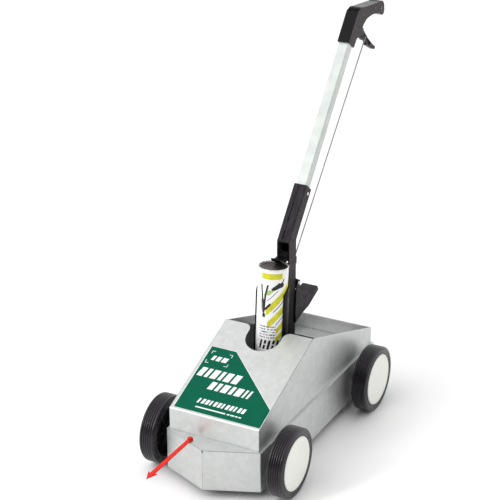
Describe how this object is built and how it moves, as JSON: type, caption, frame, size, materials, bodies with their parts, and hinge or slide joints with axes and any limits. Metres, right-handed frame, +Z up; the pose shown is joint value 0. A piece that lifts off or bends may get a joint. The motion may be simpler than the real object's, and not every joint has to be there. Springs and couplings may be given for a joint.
{
  "type": "line striping machine",
  "caption": "Push-along line striping machine: a wheeled sheet-metal hood with a trigger wand that presses an upside-down marking can.",
  "frame": {"origin": "on the ground under the middle of the whole machine, pointer tip to grip end", "axes": "+Z up, -Y the way it travels, +X its right-hand side"},
  "size_m": [0.335, 0.9868, 0.8695],
  "materials": {
    "galvanised": "zinc-coated sheet, faint spangle, satin",
    "label": "printed vinyl, satin",
    "fastener_steel": "bright zinc",
    "axle_steel": "drawn steel",
    "spring_steel": "oiled spring wire",
    "tyre": "semi-gloss ribbed rubber",
    "wheel_core": "moulded, matt",
    "hub_disc": "off-white, satin",
    "bush": "natural nylon",
    "wand_plastic": "moulded, fine grain",
    "lever_steel": "black zinc",
    "rod_steel": "drawn wire",
    "tube_aluminium": "clear anodised",
    "pointer_red": "enamel",
    "can_print": "gloss print on tinplate",
    "can_metal": "tinplate",
    "spray_head": "moulded"
  },
  "bodies": {
    "hood": {"slope_panel": "galvanised", "side_panel_left": "galvanised", "side_panel_right": "galvanised", "rear_wall": "galvanised", "skirt_left": "galvanised", "skirt_right": "galvanised", "prow_plate": "galvanised", "floor_plate": "galvanised", "partition": "galvanised", "body_rivets": "fastener_steel", "front_label": "label", "front_axle": "axle_steel", "rear_axle": "axle_steel", "front_axle_plates": "axle_steel", "rear_axle_plates": "axle_steel", "wheel_spacers": "axle_steel", "axle_clips": "fastener_steel", "pointer_pivot": "fastener_steel", "wand_socket": "galvanised", "socket_bolt": "fastener_steel", "wand_bracket": "wand_plastic", "wand_tube": "tube_aluminium", "sleeve_bolt": "fastener_steel", "can_cradle": "wand_plastic", "nozzle_seat": "wand_plastic", "spray_head": "spray_head", "valve_stem": "spray_head", "lever_pin": "axle_steel", "pedal_pin": "axle_steel", "pedal_spring": "spring_steel", "grip_left": "wand_plastic", "grip_right": "wand_plastic", "grip_screws": "fastener_steel", "trigger_pin": "axle_steel", "trigger_spring": "spring_steel"},
    "wheel_front_left": {"tyre_front_left": "tyre", "wheel_core_front_left": "wheel_core", "hub_disc_front_left": "hub_disc", "bush_front_left": "bush"},
    "wheel_front_right": {"tyre_front_right": "tyre", "wheel_core_front_right": "wheel_core", "hub_disc_front_right": "hub_disc", "bush_front_right": "bush"},
    "wheel_rear_left": {"tyre_rear_left": "tyre", "wheel_core_rear_left": "wheel_core", "hub_disc_rear_left": "hub_disc", "bush_rear_left": "bush"},
    "wheel_rear_right": {"tyre_rear_right": "tyre", "wheel_core_rear_right": "wheel_core", "hub_disc_rear_right": "hub_disc", "bush_rear_right": "bush"},
    "pointer": {"pointer": "pointer_red"},
    "trigger": {"trigger": "wand_plastic"},
    "pull_rod": {"pull_rod": "rod_steel"},
    "press_lever": {"press_lever": "lever_steel"},
    "can": {"can_body": "can_print", "can_base": "can_metal", "valve_cup": "can_metal"},
    "release_pedal": {"release_pedal": "wand_plastic"}
  },
  "joints": [
    {"name": "wheel_front_left_spin", "type": "hinge", "parent": "hood", "child": "wheel_front_left", "pos_m": [-0.1495, -0.246, 0.075], "axis": [1, 0, 0], "continuous": true},
    {"name": "wheel_front_right_spin", "type": "hinge", "parent": "hood", "child": "wheel_front_right", "pos_m": [0.1495, -0.246, 0.075], "axis": [1, 0, 0], "continuous": true},
    {"name": "wheel_rear_left_spin", "type": "hinge", "parent": "hood", "child": "wheel_rear_left", "pos_m": [-0.1495, 0.169, 0.075], "axis": [1, 0, 0], "continuous": true},
    {"name": "wheel_rear_right_spin", "type": "hinge", "parent": "hood", "child": "wheel_rear_right", "pos_m": [0.1495, 0.169, 0.075], "axis": [1, 0, 0], "continuous": true},
    {"name": "trigger_squeeze", "type": "hinge", "parent": "hood", "child": "trigger", "pos_m": [0, 0.37427, 0.81572], "axis": [1, 0, 0], "range_deg": [0, 4], "stiffness_Nm_per_rad": 1, "springref_deg": -17.19},
    {"name": "rod_pull", "type": "slide", "parent": "hood", "child": "pull_rod", "axis": [0, 0.6516, 0.7586], "range_m": [0, 0.0024]},
    {"name": "lever_press", "type": "hinge", "parent": "hood", "child": "press_lever", "pos_m": [0, 0.036, 0.3935], "axis": [1, 0, 0], "range_deg": [0, 8.8]},
    {"name": "can_press", "type": "slide", "parent": "hood", "child": "can", "axis": [0, -0.0698, -0.9976], "range_m": [0, 0.004], "stiffness_N_per_m": 150, "springref_m": -0.0015},
    {"name": "pedal_press", "type": "hinge", "parent": "hood", "child": "release_pedal", "pos_m": [0, 0.054, 0.331], "axis": [-1, 0, 0], "range_deg": [0, 15], "stiffness_Nm_per_rad": 1, "springref_deg": -17.19},
    {"name": "pointer_swing", "type": "hinge", "parent": "hood", "child": "pointer", "pos_m": [-0.042, -0.32, 0.1143], "axis": [0, 0, 1], "range_deg": [-75, 90]}
  ],
  "couplings": [
    {"joint": "rod_pull", "follows": "trigger_squeeze", "m_per_rad": 0.034},
    {"joint": "lever_press", "follows": "trigger_squeeze", "ratio": 2.1936},
    {"joint": "can_press", "follows": "trigger_squeeze", "m_per_rad": 0.05729}
  ]
}
